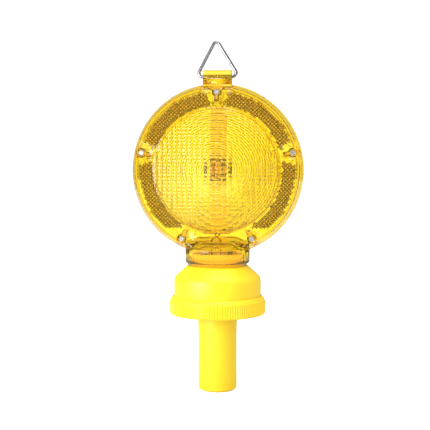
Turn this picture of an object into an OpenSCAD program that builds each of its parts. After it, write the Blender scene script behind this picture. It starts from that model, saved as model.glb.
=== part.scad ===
// Cone-top warning lamp: a round two-sided amber lens head on a screw-apart battery housing
// whose spigot drops into the top of a traffic cone.
// +Z is up, the front lens faces -Y, and the origin is the middle of the spigot's bottom end.

/* [Lens head] */
// Height of the lens centre above the spigot's bottom end
lens_height = 232; // [230:0.5:236]
// Diameter of the lens body at its middle plane
lens_diameter = 180; // [178:0.5:182]
// Diameter of the flat face of each lens half
face_diameter = 170; // [168:0.5:171]
// Depth from the middle plane to the flat face
face_depth = 15; // [14:0.5:17]
// Diameter of the domed optic in the middle of each half
optic_diameter = 134; // [130:1:134]
// Depth from the middle plane to the top of the dome
optic_depth = 31; // [27:0.5:34]
// Wall thickness of the amber mouldings
lens_wall = 2.6; // [2.4:0.1:2.8]
// Distance of the case screws from the lens axis
screw_circle = 80.5; // [80:0.1:81]
// Diameter of a case screw's head
screw_head_diameter = 6.2; // [5.6:0.1:6.6]

/* [Reflector plates] */
// Inner radius of the prism plates
plate_inner = 68; // [67.5:0.5:69]
// Outer radius of the prism plates
plate_outer = 81.8; // [80:0.1:82]
// Thickness of the prism plates
plate_thickness = 1.8; // [1.4:0.1:2]
// Radius of the scallop that clears each screw boss
scallop_radius = 10.4; // [9:0.1:11]
// How far below the lens centre the plates stop
plate_foot = 62; // [60:0.5:64]

/* [Hanger] */
// Diameter of the hanger's wire
wire_diameter = 3.2; // [2.8:0.1:3.4]
// Height of the hinge axis above the lens centre
hinge_rise = 97.2; // [96:0.1:98]
// Height of the wire's apex above the hinge axis, to the wire's centre line
hanger_rise = 35.6; // [32:0.1:38]
// Half the hanger's width, to the wire's centre line
hanger_half_width = 19.4; // [19:0.1:21]
// Sideways offset of the hand-bent apex
apex_offset = -1.2; // [-2:0.1:2]
// Width of the hinge lug
lug_width = 29.5; // [27:0.1:29.5]
// Radius of the lug's rounded top
lug_radius = 6.7; // [6:0.1:7]

/* [Neck collar] */
// Outer radius of the transparent collar
collar_radius = 34; // [33.6:0.1:34.5]
// Collar wall thickness
collar_wall = 2.8; // [2.6:0.1:3]
// Outer radius of the housing's neck
neck_radius = 27.5; // [27.2:0.1:27.6]
// Outer radius of the snap flange on the neck
flange_radius = 30.6; // [30:0.1:30.8]

/* [Housing and screw base] */
// Outer radius of the housing
housing_radius = 45.8; // [45.6:0.1:45.9]
// Radius of the knurled ring over its ribs
ring_radius = 50.7; // [50:0.1:52]
// Number of ribs round the knurled ring
rib_count = 120; // [60:4:120]
// Height of the knurled ring
ring_height = 19; // [19:0.5:20]
// Pitch of the screw thread between the housing and the base
thread_pitch = 4; // [4:0.5:5]
// Radius of the spigot's straight stretch
spigot_radius = 20.3; // [20.2:0.05:20.4]
// Radius of the spigot where it meets the ring
spigot_root_radius = 20.9; // [20.6:0.1:21.5]
// Height of the spigot below the ring
spigot_length = 81; // [80.5:0.5:81]

/* [Power and electronics] */
// Diameter of a size D cell
cell_diameter = 34.2; // [33.2:0.1:34.2]
// Height of a size D cell over its terminals
cell_height = 61.5; // [61:0.1:61.5]
// Diameter of each amber LED
led_diameter = 10; // [8:1:10]

/* [Hidden] */
$fn = 96;
EPS = 0.01;

lens_radius = lens_diameter / 2;
face_radius = face_diameter / 2;
optic_radius = optic_diameter / 2;
inner_face = face_depth - lens_wall;
rim_wall = 3.4;
dome_rise = optic_depth - face_depth;
dome_radius = (optic_radius * optic_radius + dome_rise * dome_rise) / (2 * dome_rise);
screw_angles = [90, 12.7, 167.3, 243, 297];
boss_radius = 5.6;
web_length = 10;
web_width = 5.2;
screw_shank_radius = 1.7;
screw_reach = 9;
head_radius = screw_head_diameter / 2;
head_height = 2;
sink_depth = 2.6;

hinge_height = lens_height + hinge_rise;
wire_radius = wire_diameter / 2;
corner_bend = 4;
apex_bend = 3.2;
wire_play = 0.08;

collar_bottom = lens_height - 99.7;
collar_chamfer_top = lens_height - 96.3;
collar_top = lens_height - 83;
roof_height = lens_height - 75;
roof_radius = 24;
lip_radius = neck_radius + 0.5;
lip_top = collar_bottom + 3.2;
shelf_bottom = lens_height - 79;
shelf_thickness = 2;
board_ledge = lens_height - 66.6;
led_board_reach = 60;
hook_inner = 19.8;
hook_outer = 30;
hook_depth = 3;
hook_bottom = lens_height - 86.4;
hook_height = 6;
lead_radius = 0.75;
lead_exits = [-6, 3];
solder_spread = 2.6;

ring_bottom = spigot_length;
ring_top = ring_bottom + ring_height;
ring_floor = 3;
ring_inner_radius = housing_radius + 0.6;
knurl_depth = 0.8;
knurl_height = 13;
shoulder_foot = lens_height - 113;
shoulder_top = lens_height - 100;
neck_top = lens_height - 87;
skirt_radius = housing_radius - 2;
skirt_inner_radius = skirt_radius - 2.4;
skirt_top = ring_top - 3;
gasket_height = 2.4;
skirt_bottom = ring_bottom + ring_floor + gasket_height;
neck_bore = 25;
plug_rim = 4;
tube_bore = 18.4;
guide_top = 130;
thread_turns = 1.5;
thread_steps = 36;

cell_radius = cell_diameter / 2;
cell_nub = 1.5;
cell_base = lens_height - 98.5 - 2 * cell_height;
plate_top = plug_rim + 0.6;
board_bottom = lens_height - 90.6;
board_thickness = 1.6;
board_top = board_bottom + board_thickness;
carrier_bottom = cell_base + 2 * cell_height + 0.8;
carrier_top = carrier_bottom + 3.7;
slider_travel = 2.5;

// Places its children on the lens axis, with their +Z pointing out of the front face
module on_lens_axis() {
    translate([0, 0, lens_height]) rotate([90, 0, 0]) children();
}

// Places its children at every case screw, seen from the front
module at_screws() {
    for (angle = screw_angles) rotate(angle) translate([screw_circle, 0, 0]) children();
}

// Outer volume of one lens half's drum and dome
module half_drum(drum_radius, drum_face_radius, drum_depth, dome, dome_edge) {
    cylinder(r1 = drum_radius, r2 = drum_face_radius, h = drum_depth);
    intersection() {
        translate([0, 0, optic_depth - dome_radius]) sphere(r = dome);
        cylinder(r = dome_edge, h = optic_depth + 1);
    }
}

// Outer volume of the neck collar, with its sloped roof
module collar_volume() {
    translate([0, 0, collar_bottom]) cylinder(r = 31.2, h = 0.8);
    translate([0, 0, collar_bottom + 0.8])
        cylinder(r1 = 31.2, r2 = collar_radius, h = collar_chamfer_top - collar_bottom - 0.8);
    translate([0, 0, collar_chamfer_top])
        cylinder(r = collar_radius, h = collar_top - collar_chamfer_top);
    translate([0, 0, collar_top])
        cylinder(r1 = collar_radius, r2 = roof_radius, h = roof_height - collar_top);
}

// Hollow inside the neck collar, open at the bottom for the housing's neck
module collar_hollow() {
    inside = collar_radius - collar_wall;
    translate([0, 0, collar_bottom - 1]) cylinder(r = lip_radius, h = 10);
    translate([0, 0, lip_top]) cylinder(r = inside, h = collar_top - lip_top);
    translate([0, 0, collar_top])
        cylinder(r1 = inside, r2 = roof_radius - collar_wall, h = roof_height - collar_wall - collar_top);
}

// Half of the hinge lug, stepped down its front and rounded over the wire
module lug_half() {
    half = lug_width / 2;
    foot = lens_radius - 4.6;
    difference() {
        union() {
            translate([-half, 0, lens_height + foot]) mirror([0, 1, 0])
                cube([lug_width, lug_radius, hinge_rise - foot]);
            translate([-half, 0, hinge_height]) rotate([0, 90, 0]) cylinder(r = lug_radius, h = lug_width);
        }
        for (rise = [88.8, 92.8]) {
            translate([-half - 1, -lug_radius - 1, lens_height + rise]) cube([half + 0.4, 1.7, 0.9]);
            translate([0.6, -lug_radius - 1, lens_height + rise]) cube([half + 0.4, 1.7, 0.9]);
        }
    }
}

// Boss round a case screw, with a web towards the middle of the lens
module screw_boss() {
    cylinder(r = boss_radius, h = face_depth - 1);
    translate([-web_length, -web_width / 2, 0]) cube([web_length, web_width, face_depth - 1]);
}

// Snap hooks under the collar's roof, one at each side, clear of the housing's neck
module collar_hooks() {
    for (side = [0, 1]) mirror([side, 0, 0]) {
        translate([hook_inner, -hook_depth, hook_bottom])
            cube([hook_outer - hook_inner, hook_depth, hook_height]);
        translate([hook_outer - 1, -hook_depth, hook_bottom])
            cube([3.5, hook_depth, collar_top - hook_bottom]);
    }
}

// Ledge and pegs that hold the LED board, and the shelf over the collar
module inner_ledges() {
    translate([-13, -inner_face - 1, board_ledge]) cube([26, inner_face + 1, 2]);
    for (side = [-1, 1])
        translate([side * 8.5 - 2, -4, board_ledge + 2]) cube([4, 3.2, 8]);
    translate([-30, -inner_face - 1, shelf_bottom]) cube([60, inner_face + 1, shelf_thickness]);
}

// One amber lens half: drum, dome, screw bosses, hinge lug and half of the neck collar
module lens_half(boss_hole) {
    difference() {
        union() {
            difference() {
                union() {
                    on_lens_axis()
                        half_drum(lens_radius, face_radius, face_depth, dome_radius, optic_radius);
                    collar_volume();
                }
                on_lens_axis() translate([0, 0, -EPS])
                    half_drum(lens_radius - rim_wall, face_radius - lens_wall, inner_face + EPS,
                        dome_radius - lens_wall, optic_radius - lens_wall);
                collar_hollow();
            }
            intersection() {
                on_lens_axis() at_screws() screw_boss();
                on_lens_axis() cylinder(r1 = lens_radius - 1, r2 = face_radius - 1, h = face_depth);
            }
            inner_ledges();
            collar_hooks();
            lug_half();
        }
        translate([-200, 0, 0]) cube([400, 200, 500]);
        on_lens_axis() at_screws() translate([0, 0, -EPS]) children();
        translate([-lug_width, 0, hinge_height]) rotate([0, 90, 0])
            cylinder(r = wire_radius + wire_play, h = 2 * lug_width);
        for (x = lead_exits) translate([x, 0, shelf_bottom - 1]) cylinder(r = 1.5, h = 4);
        for (side = [-1, 1])
            translate([side * solder_spread, 0, board_ledge - 1]) cylinder(r = 1.4, h = 4);
    }
}

module lens_front() {
    color([1, 0.78, 0.08, 0.6]) lens_half() {
        cylinder(r = screw_shank_radius + 0.25, h = face_depth + 1);
        translate([0, 0, face_depth - sink_depth]) cylinder(r = head_radius + 0.8, h = sink_depth + 1);
    }
}

module lens_rear() {
    color([1, 0.74, 0.06, 0.6]) mirror([0, 1, 0])
        lens_half() cylinder(r = screw_shank_radius + 0.05, h = screw_reach + 1);
}

// One C-shaped prism plate behind a lens face, on the side that +X points to
module prism_plate() {
    on_lens_axis() translate([0, 0, inner_face - plate_thickness])
        linear_extrude(height = plate_thickness) difference() {
            circle(r = plate_outer);
            circle(r = plate_inner);
            at_screws() circle(r = scallop_radius);
            translate([0.6 - 200, -200]) square([200, 400]);
            translate([-200, -plate_foot - 200]) square([400, 200]);
        }
}

module reflector_front_left() {
    color([0.75, 0.6, 0.18]) mirror([1, 0, 0]) prism_plate();
}

module reflector_front_right() {
    color([0.75, 0.6, 0.18]) prism_plate();
}

module reflector_rear_left() {
    color([0.75, 0.6, 0.18]) mirror([0, 1, 0]) mirror([1, 0, 0]) prism_plate();
}

module reflector_rear_right() {
    color([0.75, 0.6, 0.18]) mirror([0, 1, 0]) prism_plate();
}

// Pan-head screw with a cross recess, its head resting in the sink of the front half
module case_screw() {
    seat = face_depth - sink_depth;
    difference() {
        union() {
            translate([0, 0, -screw_reach]) cylinder(r = screw_shank_radius, h = screw_reach + seat + EPS);
            translate([0, 0, seat]) cylinder(r = head_radius, h = head_height * 0.6);
            translate([0, 0, seat + head_height * 0.6])
                cylinder(r1 = head_radius, r2 = head_radius * 0.7, h = head_height * 0.4);
        }
        for (turn = [0, 90]) rotate(turn)
            translate([-1.7, -0.35, seat + head_height - 1.1]) cube([3.4, 0.7, 2]);
    }
}

module case_screws() {
    color([0.72, 0.72, 0.74]) on_lens_axis() at_screws() case_screw();
}

module led_board() {
    foot = board_ledge + 2;
    color([0.86, 0.7, 0.4])
        translate([-7, -0.8, foot]) cube([14, 1.6, lens_height + led_board_reach - foot]);
}

// Round-topped LED standing on the board
module led() {
    radius = led_diameter / 2;
    color([0.95, 0.45, 0.1]) on_lens_axis() translate([0, 0, 0.8]) {
        cylinder(r = radius + 0.6, h = 1.2);
        cylinder(r = radius, h = 7);
        translate([0, 0, 7]) intersection() {
            sphere(r = radius);
            cylinder(r = radius + 1, h = radius + 1);
        }
    }
}

module led_front() {
    led();
}

module led_rear() {
    mirror([0, 1, 0]) led();
}

// Dark collar that holds each LED square to the board
module led_holders() {
    color([0.3, 0.12, 0.08]) for (side = [0, 1]) mirror([0, side, 0])
        on_lens_axis() translate([0, 0, 0.8]) difference() {
            cylinder(r = 7.6, h = 4.5);
            translate([0, 0, -1]) cylinder(r = led_diameter / 2 + 0.7, h = 7);
        }
}

// Ring of points round one station of a tube that bends in the XZ plane
function tube_ring(point, along, radius, sides) =
    let (ahead = along / norm(along), out = cross(ahead, [0, 1, 0]))
    [for (k = [0:sides - 1])
        point + radius * (cos(k * 360 / sides) * [0, 1, 0] + sin(k * 360 / sides) * out)];

// Round tube swept along a route, closed at both ends
module tube(route, radius, sides) {
    last = len(route) - 1;
    points = [for (i = [0:last])
        each tube_ring(route[i], route[min(i + 1, last)] - route[max(i - 1, 0)], radius, sides)];
    walls = [for (i = [0:last - 1]) for (k = [0:sides - 1])
        [i * sides + k, (i + 1) * sides + k, (i + 1) * sides + (k + 1) % sides,
            i * sides + (k + 1) % sides]];
    ends = [[for (k = [0:sides - 1]) k], [for (k = [sides - 1:-1:0]) last * sides + k]];
    polyhedron(points = points, faces = concat(walls, ends), convexity = 4);
}

// Heights of the leads' stations, measured from the LED board's ledge
lead_drop = [2, 0, -1, -3, -5, -7, -9, -10.3, -11.5, -18, -22];
// How far each lead has crossed from its solder pad to its exit, down the same drops
lead_cross = [0, 0, 0.02, 0.12, 0.37, 0.68, 0.91, 0.985, 1, 1, 1];

// Route of a lead from its pad on the LED board to the flasher board, bowed out by bow
function lead_route(from_x, to_x, bow) = [for (i = [0:len(lead_drop) - 1])
    [from_x + (to_x - from_x) * lead_cross[i],
        bow * sin(180 * lead_cross[i]),
        i < len(lead_drop) - 1 ? board_ledge + lead_drop[i] : board_top]];

module lead_red() {
    color([0.8, 0.1, 0.08]) tube(lead_route(-solder_spread, lead_exits[1], -1.4), lead_radius, 8);
}

module lead_black() {
    color([0.08, 0.08, 0.08]) tube(lead_route(solder_spread, lead_exits[0], 1.4), lead_radius, 8);
}

// Direction, above +X, of the line that touches both of a side's bends on their outside
function side_slope(corner, apex) =
    let (delta = apex - corner)
    atan2(delta[1], delta[0]) + asin((corner_bend - apex_bend) / norm(delta));

// Points along a bend in the XZ plane
function bend_points(centre, bend, start, end, steps) =
    [for (i = [0:steps])
        let (angle = start + (end - start) * i / steps)
        [centre[0] + bend * cos(angle), 0, centre[1] + bend * sin(angle)]];

// Centre line of half the hanger, from inside the lower leg's end up to the apex, on the +X side
function hanger_side(side) =
    let (corner = [hanger_half_width - corner_bend, hinge_height + corner_bend],
        apex = [side * apex_offset, hinge_height + hanger_rise - apex_bend],
        slope = side_slope(corner, apex))
    concat([[corner[0] - 1, 0, hinge_height]],
        bend_points(corner, corner_bend, -90, slope - 90, 8),
        bend_points(apex, apex_bend, slope - 90, 90, 5));

// Steel wire bent to a triangle, its ends meeting inside the lug's bore
module hanger_wire() {
    right = hanger_side(1);
    left = hanger_side(-1);
    route = concat(right, [for (i = [len(left) - 2:-1:0]) [-left[i][0], 0, left[i][2]]]);
    color([0.75, 0.76, 0.78]) {
        for (side = [-90, 90]) translate([sign(side) * 0.4, 0, hinge_height]) rotate([0, side, 0])
            cylinder(r = wire_radius, h = hanger_half_width - corner_bend - 0.4);
        tube(route, wire_radius - 0.03, 12);
    }
}

// Outline of the housing shell, half section, from the skirt up to the neck
module housing_section() {
    bend = 4;
    slope = atan2(shoulder_top - shoulder_foot, housing_radius - 31.5);
    bend_centre = [housing_radius - bend, shoulder_foot - bend * tan((90 - slope) / 2)];
    polygon(concat(
        [[skirt_inner_radius, skirt_bottom], [skirt_radius, skirt_bottom], [skirt_radius, skirt_top],
            [housing_radius, skirt_top]],
        [for (i = [0:5]) bend_centre + bend * [cos(i * (90 - slope) / 5), sin(i * (90 - slope) / 5)]],
        [[31.5, shoulder_top], [neck_radius, shoulder_top], [neck_radius, lip_top + 0.4],
            [flange_radius, lip_top + 0.4], [flange_radius, lip_top + 2.4], [neck_radius, lip_top + 3.6],
            [neck_radius, neck_top], [neck_bore, neck_top], [neck_bore, shoulder_top - 2.4],
            [skirt_inner_radius, shoulder_foot - 5]]));
}

// Trapezoid screw thread swept up a helix from its start angle
module thread(base_radius, crest_radius, bottom, start) {
    count = thread_steps * thread_turns;
    half_widths = [0.8, 0.4, -0.4, -0.8];
    points = [for (i = [0:count])
        let (angle = start + 360 * i / thread_steps,
            fade = min(1, 0.2 + 0.2 * min(i, count - i)),
            crest = base_radius + (crest_radius - base_radius) * fade)
        for (k = [0:3])
            let (radius = k == 0 || k == 3 ? base_radius : crest)
            [radius * cos(angle), radius * sin(angle),
                bottom + thread_pitch * i / thread_steps + half_widths[k]]];
    sides = [for (i = [0:count - 1]) for (k = [0:3])
        [i * 4 + k, i * 4 + (k + 1) % 4, (i + 1) * 4 + (k + 1) % 4, (i + 1) * 4 + k]];
    flip = crest_radius > base_radius;
    faces = concat(sides, [[3, 2, 1, 0]], [[count * 4, count * 4 + 1, count * 4 + 2, count * 4 + 3]]);
    polyhedron(points = points,
        faces = flip ? [for (face = faces) [for (k = [len(face) - 1:-1:0]) face[k]]] : faces,
        convexity = 6);
}

module housing() {
    color([1, 0.93, 0.2]) {
        rotate_extrude() housing_section();
        thread(skirt_radius - 0.6, housing_radius - 0.4, skirt_bottom + 1.6, 0);
    }
}

// Moulded disc in the housing's neck that carries the contacts and the flasher board
module contact_carrier() {
    color([0.2, 0.2, 0.22]) difference() {
        union() {
            translate([0, 0, carrier_bottom]) cylinder(r = neck_bore - 0.1, h = carrier_top - carrier_bottom);
            translate([0, 0, guide_top + 1.3]) cylinder(r = 20.6, h = carrier_bottom - guide_top - 1.3 + EPS);
            for (angle = [30, 150, 270 + 60]) rotate(angle)
                translate([21, 0, carrier_top - EPS]) cylinder(r = 2.2, h = board_bottom - carrier_top + EPS);
        }
        translate([0, 0, guide_top]) cylinder(r = 17.9, h = carrier_bottom - guide_top);
        translate([-5.2, -30, guide_top]) cube([10.4, 9.9, 20]);
        translate([0, 0, carrier_bottom - 1]) cylinder(r = 3, h = 8);
    }
}

// Nickel-plated leaf that presses on the upper cell's terminal
module top_contact() {
    color([0.8, 0.78, 0.7]) {
        translate([0, 0, carrier_bottom - 0.8]) cylinder(r = 8, h = 0.8);
        translate([0, 0, carrier_bottom]) cylinder(r = 1.2, h = board_bottom - carrier_bottom);
    }
}

// Plated ring that the return strip touches at any turn of the housing
module return_contact() {
    color([0.8, 0.78, 0.7]) translate([0, 0, guide_top + 0.5]) difference() {
        cylinder(r = 20.6, h = 0.8);
        translate([0, 0, -1]) cylinder(r = 17.9, h = 3);
    }
}

module flasher_board() {
    color([0.86, 0.7, 0.4]) translate([0, 0, board_bottom]) cylinder(r = 24.6, h = board_thickness);
}

module flasher_chip() {
    color([0.08, 0.08, 0.09]) translate([-17, -9, board_top]) cube([7, 5, 1.8]);
}

module capacitor() {
    color([0.12, 0.14, 0.3]) translate([13, 9, board_top]) cylinder(r = 3.2, h = 7);
}

module resistors() {
    color([0.75, 0.62, 0.42]) for (x = [8, 12])
        translate([x, -15, board_top + 1]) rotate([-90, 0, 0]) cylinder(r = 1, h = 6);
}

// Light sensor that keeps the lamp off in daylight
module photocell() {
    color([0.85, 0.5, 0.2]) translate([-10, 12, board_top]) {
        cylinder(r = 0.5, h = 3);
        translate([0, 0, 3]) cylinder(r = 2.5, h = 2);
    }
}

switch_x = 4.5;
switch_front = -24.2;
switch_depth = 3.8;
switch_bottom = board_bottom - 3.6;

module switch_body() {
    color([0.75, 0.76, 0.78]) difference() {
        translate([-switch_x, switch_front, switch_bottom]) cube([2 * switch_x, switch_depth, 3.6]);
        translate([-2.8, switch_front + 0.7, switch_bottom - 1]) cube([5.6, 2.4, 3]);
    }
}

module switch_slider() {
    color([0.1, 0.1, 0.1]) translate([-slider_travel / 2 - 1.2, switch_front + 0.9, switch_bottom - 3.2])
        cube([2.4, 2, 5]);
}

module base_gasket() {
    color([0.15, 0.15, 0.15]) translate([0, 0, ring_bottom + ring_floor]) difference() {
        cylinder(r = skirt_radius - 0.1, h = gasket_height);
        translate([0, 0, -1]) cylinder(r = skirt_inner_radius - 0.5, h = gasket_height + 2);
    }
}

// Closed outline of the ring's ribs: one crest and one root for each rib
module rib_outline() {
    step = 360 / rib_count;
    polygon([for (i = [0:rib_count - 1]) each [
        (ring_radius / cos(step / 4)) * [cos(i * step), sin(i * step)],
        (ring_radius - knurl_depth) * [cos((i + 0.5) * step), sin((i + 0.5) * step)]]]);
}

// Knurled ring, spigot and cell guide in one moulding, with the thread inside the ring
module screw_base() {
    knurl_bottom = ring_bottom + 0.6;
    bevel_foot = knurl_bottom + knurl_height;
    solid_radius = ring_radius - knurl_depth - 0.2;
    color([1, 0.9, 0.16]) difference() {
        union() {
            translate([0, 0, plug_rim]) cylinder(r = spigot_radius, h = 54);
            translate([0, 0, plug_rim + 54])
                cylinder(r1 = spigot_radius, r2 = spigot_root_radius, h = ring_bottom - plug_rim - 54);
            translate([0, 0, ring_bottom]) cylinder(r = spigot_radius, h = guide_top - ring_bottom);
            difference() {
                rotate_extrude() polygon([[0, ring_bottom], [solid_radius, ring_bottom],
                    [solid_radius, bevel_foot], [ring_radius - 0.4, bevel_foot],
                    [ring_radius - 1.2, bevel_foot + 2], [ring_inner_radius + 0.6, ring_top],
                    [0, ring_top]]);
                translate([0, 0, ring_bottom + ring_floor]) difference() {
                    cylinder(r = ring_inner_radius, h = ring_height);
                    translate([0, 0, -1]) cylinder(r = spigot_radius - 0.5, h = ring_height + 2);
                }
            }
            translate([0, 0, knurl_bottom]) linear_extrude(height = knurl_height) difference() {
                rib_outline();
                circle(r = solid_radius - 0.5);
            }
            thread(ring_inner_radius + 0.6, skirt_radius + 0.8,
                skirt_bottom + 1.6 + thread_pitch / 2, 0);
        }
        translate([0, 0, plug_rim - 1]) cylinder(r = tube_bore, h = guide_top);
    }
}

// Plug that closes the bottom of the spigot
module end_plug() {
    color([1, 0.88, 0.14]) {
        cylinder(r1 = spigot_radius - 1.8, r2 = spigot_radius, h = 1.8);
        translate([0, 0, 1.8]) cylinder(r = spigot_radius, h = plug_rim - 1.8);
    }
}

module spring_plate() {
    color([0.8, 0.78, 0.7]) translate([0, 0, plug_rim]) cylinder(r = 17.5, h = plate_top - plug_rim);
}

// Conical contact spring, three turns, sitting on its plate under the lower cell
module battery_spring() {
    turns = 3;
    steps = 24;
    wire = 0.55;
    count = turns * steps;
    rise = cell_base - plate_top - 2 * wire;
    points = [for (i = [0:count])
        let (angle = 360 * i / steps,
            radius = 12 - 6 * i / count,
            height = plate_top + wire + rise * i / count)
        for (k = [0:7])
            [(radius + wire * cos(k * 45)) * cos(angle), (radius + wire * cos(k * 45)) * sin(angle),
                height + wire * sin(k * 45)]];
    faces = concat([for (i = [0:count - 1]) for (k = [0:7])
        [i * 8 + k, i * 8 + (k + 1) % 8, (i + 1) * 8 + (k + 1) % 8, (i + 1) * 8 + k]],
        [[for (k = [7:-1:0]) k]], [[for (k = [0:7]) count * 8 + k]]);
    color([0.8, 0.8, 0.8]) polyhedron(points = points, faces = faces, convexity = 6);
}

// Size D cell standing on its flat end
module cell(bottom) {
    color([0.35, 0.36, 0.4]) translate([0, 0, bottom]) {
        cylinder(r = cell_radius, h = cell_height - cell_nub - 1);
        translate([0, 0, cell_height - cell_nub - 1]) cylinder(r1 = cell_radius, r2 = cell_radius - 1, h = 1);
        translate([0, 0, cell_height - cell_nub]) cylinder(r = 4.75, h = cell_nub);
    }
}

module battery_lower() {
    cell(cell_base);
}

module battery_upper() {
    cell(cell_base + cell_height);
}

// Plated strip from the spring plate up the tube, its top folded over the guide's rim
module return_strip() {
    color([0.8, 0.78, 0.7]) {
        translate([17.5, -2.5, plug_rim]) cube([0.4, 5, guide_top - plug_rim + 0.5]);
        translate([17.5, -2.5, guide_top]) cube([2.9, 5, 0.5]);
    }
}

lens_front();
lens_rear();
reflector_front_left();
reflector_front_right();
reflector_rear_left();
reflector_rear_right();
case_screws();
led_board();
led_front();
led_rear();
led_holders();
lead_red();
lead_black();
hanger_wire();
housing();
contact_carrier();
top_contact();
return_contact();
flasher_board();
flasher_chip();
capacitor();
resistors();
photocell();
switch_body();
switch_slider();
base_gasket();
screw_base();
end_plug();
spring_plate();
battery_spring();
battery_lower();
battery_upper();
return_strip();
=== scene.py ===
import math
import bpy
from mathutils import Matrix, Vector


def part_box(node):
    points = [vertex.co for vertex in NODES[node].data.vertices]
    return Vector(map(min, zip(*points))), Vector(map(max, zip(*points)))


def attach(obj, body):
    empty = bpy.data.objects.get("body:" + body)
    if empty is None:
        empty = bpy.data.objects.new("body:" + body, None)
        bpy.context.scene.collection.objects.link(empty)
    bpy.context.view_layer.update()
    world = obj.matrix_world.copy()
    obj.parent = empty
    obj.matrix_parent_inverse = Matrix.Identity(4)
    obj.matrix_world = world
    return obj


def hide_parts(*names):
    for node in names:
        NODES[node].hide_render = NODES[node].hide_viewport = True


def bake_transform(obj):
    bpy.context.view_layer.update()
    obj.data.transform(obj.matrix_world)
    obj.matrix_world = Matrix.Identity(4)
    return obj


bl_info = {
    "name": "Cone-top Warning Lamp",
    "version": (1, 0, 0),
    "blender": (4, 5, 0),
    "location": "3D View > Sidebar > Lamp",
    "description": "Builds the visible pieces of a two-sided amber warning lamp on its packed frame",
    "category": "Object",
}

import bmesh
import bpy
from bpy.props import FloatProperty, FloatVectorProperty, IntProperty, PointerProperty
from mathutils import Matrix, Vector

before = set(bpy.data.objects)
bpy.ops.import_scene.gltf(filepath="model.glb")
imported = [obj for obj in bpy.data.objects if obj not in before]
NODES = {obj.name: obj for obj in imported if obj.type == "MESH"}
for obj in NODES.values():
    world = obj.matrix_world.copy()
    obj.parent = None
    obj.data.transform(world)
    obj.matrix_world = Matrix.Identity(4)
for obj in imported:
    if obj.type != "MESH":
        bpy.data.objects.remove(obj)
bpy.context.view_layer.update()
MM = 0.001
WELD = 0.002 * MM

LED_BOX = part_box("led_front")
LENS_CENTRE = (LED_BOX[0].z + LED_BOX[1].z) / 2
BOARD_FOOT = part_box("led_board")[0].z
LAMP_BOARD_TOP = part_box("flasher_board")[1].z
HINGE_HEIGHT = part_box("hanger_wire")[0].z + 1.6 * MM
LENS_AXIS = Vector((0, 0, LENS_CENTRE))


# ---------------------------------------------------------------- settings


def length(name, description, default):
    """A size in metres with its words for the sidebar."""
    return FloatProperty(name=name, description=description, default=default, unit="LENGTH", precision=5)


def colour(name, description, default):
    """A linear colour with its words for the sidebar."""
    return FloatVectorProperty(
        name=name, description=description, default=default, subtype="COLOR", size=3, min=0, max=1
    )


def amount(name, description, default):
    """A plain number of zero or more with its words for the sidebar."""
    return FloatProperty(name=name, description=description, default=default, min=0)


class LampSizes(bpy.types.PropertyGroup):
    """Sizes of the moulded and bent detail"""

    optic_radius: length("Optic Radius", "Radius of the domed optic", 67.0 * MM)
    optic_depth: length("Optic Depth", "Depth from the middle plane to the top of the dome", 31.0 * MM)
    face_depth: length("Face Depth", "Depth from the middle plane to the flat face", 15.0 * MM)
    wall: length("Wall", "Thickness of the amber mouldings", 2.6 * MM)
    cell_width: length("Pillow Width", "Width of one pillow of the optic's outside grid", 5.74 * MM)
    cell_height: length("Pillow Height", "Height of one pillow of the optic's outside grid", 3.8 * MM)
    pillow_rise: length("Pillow Rise", "How far a pillow is crowned across its width", 0.5 * MM)
    ring_pitch: length("Ring Lens Pitch", "Distance between the ring lenses inside the optic", 2.4 * MM)
    ring_rise: length("Ring Lens Rise", "Height of the outermost ring lens", 1.5 * MM)
    riser: length("Ring Lens Riser", "Width of the step between two ring lenses", 0.6 * MM)
    seam: length("Seam", "Gap at the joint between the two lens halves, on each side of it", 0.05 * MM)
    plate_inner: length("Plate Inner Radius", "Inner radius of the prism plates", 68.0 * MM)
    plate_outer: length("Plate Outer Radius", "Outer radius of the prism plates", 83.4 * MM)
    prism_pitch: length("Prism Pitch", "Width of one prism across its flats", 2.8 * MM)
    prism_rise: length("Prism Rise", "Height of one prism", 1.1 * MM)
    wire: length("Hanger Wire", "Diameter of the hanger's wire", 3.2 * MM)
    lead: length("Lead", "Diameter of each lead", 1.5 * MM)
    ribs: IntProperty(name="Ribs", description="Ribs round the knurled ring", default=120, min=12, max=200)
    rib_depth: length("Rib Depth", "Depth of the knurled ring's ribs", 0.75 * MM)


class LampColours(bpy.types.PropertyGroup):
    """Base colours of the finishes"""

    amber: colour("Amber", "Tint of one wall of clear amber moulding", (1.0, 0.925, 0.22))
    amber_edge: colour("Amber Edge", "Tint that the amber takes on through its depth", (0.998, 0.91, 0.15))
    prism: colour("Prism Sheet", "Body of the prism plates", (0.78, 0.56, 0.07))
    # This colour is painted shade: a near-black colour laid in the valleys between the prisms.
    prism_valley_painted_shade: colour("Prism Shade", "Valleys between the prisms", (0.02, 0.011, 0.002))
    yellow: colour("Yellow", "Lemon-yellow moulded plastic", (0.97, 0.7, 0.01))
    yellow_shade: colour("Yellow Shade", "Deeper yellow in the moulding's flow marks", (0.95, 0.65, 0.008))
    steel: colour("Galvanised Steel", "Hanger wire and screws", (0.6, 0.6, 0.61))


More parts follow.
